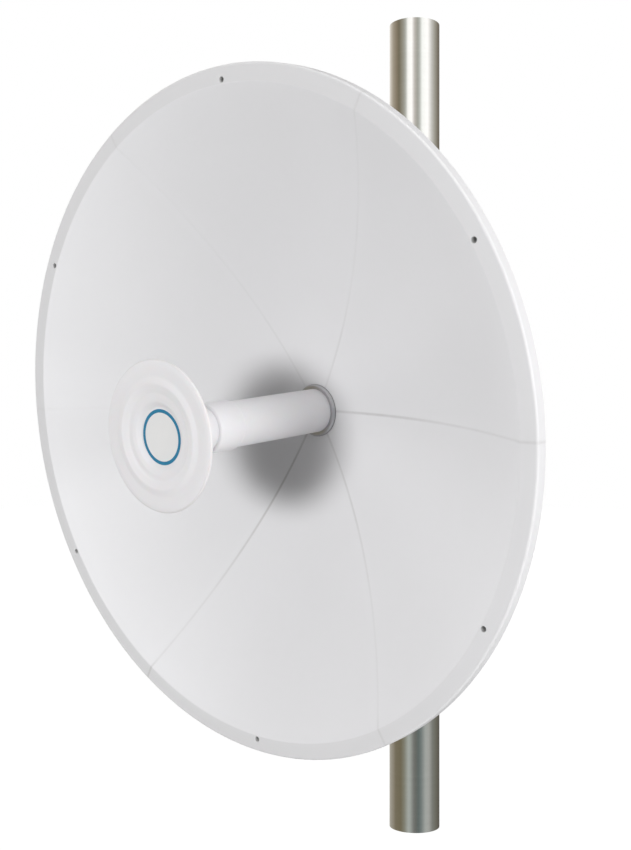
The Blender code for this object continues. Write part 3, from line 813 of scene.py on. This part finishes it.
def makeHubRing():
    # A clamping ring with a sloped flank, on a thin dark seal whose colour is painted shade for the gap at
    # the ring's foot
    h = hub
    foot = dishHeight(h["ring"]) + 0.0002
    low, top = foot + h["seal"], foot + h["ringHeight"]
    inner, outer = feed["tube"] + 0.0001, h["ring"] - 0.0002
    profile = [(inner, dishHeight(inner) + 0.0006), (h["ring"], foot), (h["ring"], low), (inner, low)]
    seal = soften(turned(profile, 128), 0.0001, 1, 20)
    # The seal's dark grey is painted shade at the ring's foot
    look = {"finish": "gapShadeSeal", "body": "dish", "slot": "hub_steel", "smooth": 25}
    makePiece("hubGapShadeSeal", seal, look, dishPlace)
    profile = [(inner, low), (outer, low), (outer, low + h["ringEdge"]), (h["ring"] - h["flank"], top)]
    ring = turned(profile + [(inner, top)], 128)
    soften(ring, 0.00025, 2, chosen=outerEdges(ring, 20, inner + 0.0005))
    makePiece("frontHubRing", ring, {**look, "finish": "hubSteel"}, dishPlace, ["front_hub_ring"])


feed = {
    "tube": 0.0302, "tubeRear": 0.0687, "collar": 0.0326, "collarStart": 0.020, "collarEnd": 0.0665,
    "neck": 0.0296, "back": 0.116, "face": 0.1423, "disc": 0.0957, "flare": 0.040, "edge": 0.004,
    "recess": 0.0070, "label": 0.0350, "film": 0.0004, "border": 0.0046, "borderFilm": 0.00012,
    "labelShift": (0.0007, -0.00135),
    # The front of the disc from its edge to the label's floor: radius and height over the face
    "front": [(0.0952, -0.0015), (0.0938, -0.0005), (0.0918, 0.0), (0.0880, 0.0004), (0.0742, 0.0),
              (0.0695, 0.0014), (0.0655, 0.0024), (0.0615, 0.0011), (0.0578, 0.0001), (0.0545, -0.0015),
              (0.0485, -0.0012), (0.0425, -0.0024), (0.0366, -0.0070)],
}


def makeFeed():
    f = feed
    start, end, back, face = (petal["rim"] + f[part] for part in ("collarStart", "collarEnd", "back", "face"))
    # The tube and collar wear the lighter copy of the disc's plastic, painted light
    look = {"finish": "litTubePlastic", "body": "dish", "slot": "white_plastic", "smooth": 50}
    tube = soften(rod(f["tube"], f["tubeRear"], start, 128), 0.0006)
    makePiece("feedTube", tube, look, dishPlace, ["feed_tube"])
    bore = f["neck"] + 0.0001
    profile = [(0, start), (f["tube"] + 0.0003, start), (f["collar"], start + 0.004)]
    profile += [(f["collar"], end - 0.002), (bore + 0.0008, end), (bore, end - 0.0001)]
    collar = turned(profile + [(bore, end - 0.0004), (0, end - 0.0004)], 128, False)
    soften(collar, 0.0009, 3, chosen=outerEdges(collar, 15, f["collar"] - 0.0005))
    makePiece("feedCollar", collar, look, dishPlace, ["feed_collar"])
    neck = rod(f["neck"], end - 0.0003, back, 128)
    # The neck wears the darker copy of the disc's plastic, painted shade
    makePiece("feedNeck", neck, {**look, "finish": "shadedNeckPlastic"}, dishPlace, ["feed_neck"])
    profile = [(0, back), (f["flare"], back), (f["disc"] - 0.002, face - f["edge"])]
    profile += [(f["disc"], face - 0.0030)] + [(radius, face + height) for radius, height in f["front"]]
    disc = turned(profile + [(0, face - f["recess"])], 160, False)
    rings = [e for e in sharpEdges(disc, 2) if abs(e.verts[0].co.z - e.verts[1].co.z) < 1e-6]
    soften(disc, 0.0005, 2, chosen=[e for e in rings if e.verts[0].co.xy.length > f["disc"] - 0.0035])
    rings = [e for e in rings if e.is_valid and e.verts[0].co.xy.length < f["disc"] - 0.005]
    soften(disc, 0.0016, 4, chosen=rings)
    makePiece("feedDisc", disc, {**look, "finish": "feedPlastic", "smooth": 60}, dishPlace, ["feed_disc"])


def makeLabel():
    # The round label stays bare inside its plain border
    f = feed
    low = petal["rim"] + f["face"] - f["recess"] + 0.0001
    high = low + f["film"]
    look = {"finish": "labelFilm", "body": "dish", "slot": "label_film"}
    place = dishPlace @ shifted(*f["labelShift"], 0)
    film = soften(rod(f["label"], low, high, 96), 0.00015, 1)
    makePiece("feedLabel", film, look, place, ["feed_label"])
    band = rod(f["label"] - 0.0002, high, high + f["borderFilm"], 96, f["label"] - f["border"])
    makePiece("labelBorder", band, {**look, "finish": "labelBorder"}, place)


feedRear = {
    "width": 0.056, "rear": 0.036, "front": 0.0684, "corner": 0.006,
    "lidWidth": 0.052, "lid": 0.0022, "lidCorner": 0.005, "screwPlace": 0.021,
    "screw": [(0, 0), (0.0030, 0), (0.0030, 0.0012), (0.0022, 0.0022), (0.0014, 0.0022), (0.0014, 0.0010),
              (0, 0.0010)],
}


def makeFeedRear():
    # The closed housing behind the hub, with its lid and four screws
    r = feedRear
    size = (r["width"], r["width"], r["front"] - r["rear"])
    bm = roundedBlock(size, (0, 0, (r["front"] + r["rear"]) / 2), r["corner"], 0.0012, 2)
    size = (r["lidWidth"], r["lidWidth"], r["lid"])
    addShape(bm, roundedBlock(size, (0, 0, r["rear"] - 0.0010), r["lidCorner"], 0.0005, 1))
    makePiece("feedHousing", bm, castLook, dishPlace, ["feed_housing"])
    screws = bmesh.new()
    for x, y in corners:
        place = shifted(x * r["screwPlace"], y * r["screwPlace"], r["rear"] - 0.0021)
        addShape(screws, turned(r["screw"], 24, False), place @ Matrix.Rotation(math.pi, 4, "X"))
    makePiece("housingScrews", screws, {**boltLook, "smooth": 40}, dishPlace)


connector = {
    "spread": 0.014, "exit": 0.052, "flats": 0.021, "flatsLow": 0.0004, "flatsHigh": 0.0036,
    "foot": [(0, 0), (0.0105, 0), (0.0105, 0.0035), (0.0088, 0.0040), (0.0088, 0.0048)],
    "crest": 0.0078, "root": 0.0071, "crestWidth": 0.0005, "pitch": 0.00106, "threadEnd": 0.0165,
    "mouth": [(0.0074, 0.0176), (0.0068, 0.0180), (0.0058, 0.0180), (0.0055, 0.0176), (0.0055, 0.009),
              (0, 0.009)],
    "core": [(0, 0.009), (0.0040, 0.009), (0.0040, 0.0130), (0.0018, 0.0130), (0.0018, 0.0120), (0, 0.0120)],
    "pin": [(0, 0.0115), (0.0008, 0.0115), (0.0008, 0.0160), (0.0004, 0.0166), (0, 0.0166)],
}


def makeConnectors():
    c = connector
    profile = list(c["foot"])
    height = c["foot"][-1][1]
    while height < c["threadEnd"]:
        profile += [(c["crest"], height), (c["root"], height + c["crestWidth"])]
        height += c["pitch"]
    metal = {"finish": "connectorNickel", "body": "dish", "slot": "connector_metal", "smooth": 35}
    plastic = {"finish": "insulator", "body": "dish", "slot": "white_plastic"}
    for side, sign in (("left", -1), ("right", 1)):
        node = "connector_" + side
        place = dishPlace @ shifted(sign * c["spread"], -feedRear["width"] / 2 - 0.0003, c["exit"])
        place = place @ turnedBy(90, "X")
        shell = turned(profile + c["mouth"], 48, False)
        addShape(shell, hexBlock(c["flats"], c["flatsLow"], c["flatsHigh"]))
        makePiece(node + "Shell", shell, metal, place, [node])
        makePiece(node + "Core", turned(c["core"], 32, False), plastic, place)
        makePiece(node + "Pin", turned(c["pin"], 16, False), metal, place)


makeHub()
makeHubRing()
makeFeed()
makeLabel()
makeFeedRear()
makeConnectors()
print("hub and feed made")


# Yoke, bracket and clamp, from the solids themselves

mount = {
    "yokeInner": 0.050, "plate": 0.004, "gap": 0.0003, "spacer": 0.0052, "spacerRadius": 0.015,
    "lockRadius": 0.060, "jawFar": 0.0632, "studSpread": 0.048, "studTail": 0.007, "pivotHeight": 0.643,
    "clampHeights": {"upper": 0.098, "lower": -0.066}, "plateEdge": 0.0006, "jawEdge": 0.0014,
}


def copyOfNode(node, width, segments=2):
    # The node's own shape with its flat faces joined and its edges rounded
    bm = bmesh.new()
    bm.from_mesh(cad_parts[node].data)
    bmesh.ops.remove_doubles(bm, verts=bm.verts, dist=1e-5)
    bmesh.ops.dissolve_limit(bm, angle_limit=math.radians(1), verts=bm.verts, edges=bm.edges)
    bmesh.ops.connect_verts_concave(bm, faces=bm.faces[:])
    return soften(bm, width, segments, 40)


def makePlatesAndJaws():
    m = mount
    look = {"finish": "galvanised", "slot": "galvanised_steel", "smooth": 35}
    for name, node, body in (("tiltYoke", "tilt_yoke", "dish"), ("poleBracket", "pole_bracket", "clamp")):
        makePiece(name, copyOfNode(node, m["plateEdge"]), {**look, "body": body}, nodes=[node])
    look = {**castLook, "body": "clamp", "smooth": 35}
    for level in m["clampHeights"]:
        for side in ("front", "rear"):
            node = "%s_%s_jaw" % (level, side)
            jaw = copyOfNode(node, m["jawEdge"], 3)
            makePiece(level + side.capitalize() + "Jaw", jaw, look, nodes=[node])


def makeMountBolts():
    # The pivot and lock bolts with their spacers, and the four clamp studs
    m = mount
    near = m["yokeInner"] + m["plate"] + m["gap"]
    reach = near + m["spacer"] + m["gap"] + m["plate"] + m["gap"]
    across = turnedBy(90, "Y")
    for name, kind, up in (("pivot", "M12", 0.0), ("lock", "M10", m["lockRadius"])):
        place = dishPlace @ shifted(-reach, up, 0) @ across
        makePiece(name + "BoltSet", boltShape(kind, 2 * reach), boltLook, place, [name + "_bolt"])
        for side, low in (("left", -near - m["spacer"]), ("right", near)):
            bore = bolts[kind]["shank"] + m["gap"]
            spacer = soften(rod(m["spacerRadius"], 0, m["spacer"], 64, bore), 0.0005)
            place = dishPlace @ shifted(low, up, 0) @ across
            node = "%s_spacer_%s" % (name, side)
            makePiece("%sSpacer%s" % (name, side.capitalize()), spacer, boltLook, place, [node])
    start = -m["jawFar"] - 2 * m["gap"] - m["plate"]
    for level, height in m["clampHeights"].items():
        for side, sign in (("left", -1), ("right", 1)):
            place = shifted(sign * m["studSpread"], start, m["pivotHeight"] + height) @ turnedBy(-90, "X")
            stud = boltShape("M10", m["jawFar"] + m["gap"] - start, m["studTail"])
            look, node = {**boltLook, "body": "clamp"}, "%s_clamp_stud_%s" % (level, side)
            makePiece("%sStud%s" % (level, side.capitalize()), stud, look, place, [node])


makePlatesAndJaws()
makeMountBolts()
print("mount made")


# Pole

pole = {"radius": 0.03805, "wall": 0.0025, "height": 1.224, "plug": 0.006, "gap": 0.0003, "edge": 0.0004}


def makePole():
    p = pole
    inner, plug = p["radius"] - p["wall"], p["radius"] - p["wall"] - p["gap"]
    look = {"finish": "poleSteel", "body": "mast", "slot": "polished_steel"}
    tube = rod(p["radius"], 0, p["height"], 160, inner)
    makePiece("poleTube", soften(tube, p["edge"]), look, nodes=["pole"])
    for name, node, low in (("poleFoot", "pole_foot_plate", 0.0),
                            ("poleTop", "pole_top_plate", p["height"] - p["plug"])):
        plate = rod(plug, low, low + p["plug"], 96)
        makePiece(name, soften(plate, p["edge"]), look, nodes=[node])


makePole()
print("pole made")


# Studio and camera

studio = {
    "cameraPlace": (1.1600, -1.4907, 0.5537), "cameraTurn": 42.467, "lens": 52.10, "sensor": 36.0,
    "shift": (-0.0005, 0.0459), "clip": (0.05, 60.0),
    "dome": 0.08,
    "aim": (0, -0.37, 0.616),
    "lampShape": 0.68,  # height over width
    "lamps": {  # azimuth and elevation of where the light comes from, its width and its strength
        "frontLeft": (-82, -1, 12, 0.61),
        "frontRight": (-75, -1, 12, 0.61),
        "frontSoft": (-79, -2, 14, 0.83),
        "rightBox": (-8, 2, 18, 0.70),
        "rightLow": (2, -16, 28, 1.00),
        "rightUp": (8, 20, 18, 0.35),
        "rightRear": (30, -30, 36, 0.52),
        "rearHigh": (30, 40, 30, 0.33),
        "rightHigh": (-17, 31, 36, 0.32),
        "rightDown": (-5, -30, 36, 0.19),
        "leftFront": (-162, -6, 36, 0.57),
        "leftLow": (-175, -42, 36, 0.39),
        "leftHigh": (-170, 54, 36, 0.56),
        "topBox": (-90, 80, 36, 0.44),
        "rearBox": (90, 8, 14, 1.10),
    },
    "near": {"frontSoft": 2.4},  # metres away. The others are as far as the sun
    # What polished metal sees round the studio: degrees from the camera and a colour, above and below
    "upperWalls": [
        (-180, 1.20, 1.16, 1.10), (-138, 0.76, 0.70, 0.60), (-118, 0.52, 0.46, 0.36),
        (-96, 0.37, 0.31, 0.22), (-80, 0.25, 0.22, 0.15), (-66, 0.39, 0.36, 0.28),
        (-54, 0.50, 0.49, 0.42), (-44, 0.72, 0.73, 0.67), (-35, 1.45, 1.45, 1.40),
        (-17, 1.60, 1.58, 1.54), (-9, 1.04, 1.0, 0.96), (-3, 0.76, 0.72, 0.66), (9, 0.54, 0.54, 0.48),
        (19, 0.70, 0.72, 0.67), (31, 1.42, 1.45, 1.40), (58, 1.60, 1.58, 1.55), (74, 1.05, 1.04, 1.0),
        (84, 0.78, 0.77, 0.72), (104, 0.50, 0.48, 0.41), (130, 0.27, 0.24, 0.19),
        (160, 0.17, 0.15, 0.13),
    ],
    "lowerWalls": [
        (-180, 0.60, 0.58, 0.50), (-138, 0.46, 0.43, 0.36), (-118, 0.39, 0.35, 0.27),
        (-102, 0.27, 0.235, 0.16), (-70, 0.24, 0.21, 0.135), (-51, 0.33, 0.33, 0.26),
        (-32, 0.56, 0.60, 0.56), (-24, 0.50, 0.54, 0.50), (-9, 0.27, 0.28, 0.26),
        (0, 0.21, 0.22, 0.20), (14, 0.17, 0.21, 0.20), (28, 0.27, 0.31, 0.30), (48, 0.54, 0.57, 0.54),
        (64, 0.54, 0.55, 0.52), (86, 0.29, 0.30, 0.27), (104, 0.24, 0.24, 0.20),
        (130, 0.17, 0.16, 0.13), (160, 0.12, 0.11, 0.10),
    ],
    "wallJoint": (-0.12, 0.16, 0.0, 1.0),
}


def makeCamera():
    data = bpy.data.cameras.new("photoCamera")
    data.lens = studio["lens"]
    data.sensor_width = studio["sensor"]
    data.shift_x, data.shift_y = studio["shift"]
    data.clip_start, data.clip_end = studio["clip"]
    camera = bpy.data.objects.new("photoCamera", data)
    camera.location = studio["cameraPlace"]
    camera.rotation_euler = (math.radians(90), 0, math.radians(studio["cameraTurn"]))
    scene.collection.objects.link(camera)
    scene.camera = camera


def makeWalls(tree):
    # Light and dark walls by direction for reflections, with duller ones towards the floor
    way = addNode(tree, "TexCoord").outputs["Generated"]
    split = addNode(tree, "SeparateXYZ", {0: way}).outputs
    around = maths(tree, "ARCTAN2", split["Y"], split["X"])
    start = math.radians(90 - studio["cameraTurn"])
    turns = maths(tree, "DIVIDE", maths(tree, "ADD", around, start), 2 * math.pi)
    place = maths(tree, "FRACT", maths(tree, "ADD", turns, 0.5), 0.0)
    high = remap(tree, split["Z"], *studio["wallJoint"], True)
    upper, lower = (turnRamp(tree, place, studio[walls]) for walls in ("upperWalls", "lowerWalls"))
    return blendColours(tree, high, lower, upper)


def makeLamps():
    for name, (azimuth, elevation, width, strength) in studio["lamps"].items():
        away = studio["near"].get(name)
        a, e = math.radians(azimuth), math.radians(elevation)
        source = Vector((math.cos(e) * math.cos(a), math.cos(e) * math.sin(a), math.sin(e)))
        data = bpy.data.lights.new(name, "AREA" if away else "SUN")
        lamp = bpy.data.objects.new(name, data)
        if away:
            data.shape = "ELLIPSE"
            data.size = 2 * away * math.tan(math.radians(width / 2))
            data.size_y = data.size * studio["lampShape"]
            data.energy = strength * math.pi * away ** 2
            lamp.location = Vector(studio["aim"]) + source * away
        else:
            data.energy = strength
            data.angle = math.radians(width)
        lamp.rotation_mode = "QUATERNION"
        lamp.rotation_quaternion = source.to_track_quat("Z", "Y")
        lamp.visible_glossy = False
        lamp.visible_camera = False
        scene.collection.objects.link(lamp)


white = (1, 1, 1, 1)


def background(tree, colour, strength=1.0):
    return addNode(tree, "Background", {"Color": colour, "Strength": strength}).outputs[0]


def makeStudio():
    # A faint dome joins the lamps, polished metal sees the walls, and the camera sees white
    world = bpy.data.worlds.new("studio")
    scene.world = world
    world.use_nodes = True
    tree = world.node_tree
    tree.nodes.clear()
    path = addNode(tree, "LightPath").outputs
    dome = background(tree, white, studio["dome"])
    light = blendShaders(tree, path["Is Glossy Ray"], dome, background(tree, makeWalls(tree)))
    seen = blendShaders(tree, path["Is Camera Ray"], light, background(tree, white))
    addNode(tree, "OutputWorld", {"Surface": seen})
    scene.view_settings.view_transform = "Standard"
    scene.view_settings.look = "None"


floorLook = {
    "half": 12, "cells": 8, "clouds": 3.0, "dark": (0.92, 0.92, 0.92, 1), "light": (0.95, 0.95, 0.95, 1),
    "glow": 1.09, "glowShare": 0.88,
}


def makeFloor():
    # A pale floor far past the object, seen by the camera alone
    f = floorLook
    bm = bmesh.new()
    bmesh.ops.create_grid(bm, x_segments=f["cells"], y_segments=f["cells"], size=f["half"])
    floor, mesh = newObject("studioFloor", bm)
    made = bpy.data.materials.new("paleFloor")
    made.use_nodes = True
    tree = made.node_tree
    tree.nodes.clear()
    place = addNode(tree, "TexCoord").outputs["Object"]
    tone = blendColours(tree, noise(tree, place, f["clouds"]), f["dark"], f["light"])
    matte = addNode(tree, "BsdfDiffuse", {"Color": tone}).outputs[0]
    glow = addNode(tree, "Emission", {"Color": white, "Strength": f["glow"]}).outputs[0]
    both = blendShaders(tree, f["glowShare"], matte, glow)
    addNode(tree, "OutputMaterial", {"Surface": both})
    mesh.materials.append(made)
    for ray in ("diffuse", "glossy", "transmission", "volume_scatter"):
        setattr(floor, "visible_" + ray, False)
    floor.visible_shadow = False


makeCamera()
makeStudio()
makeLamps()
makeFloor()
print("studio made")
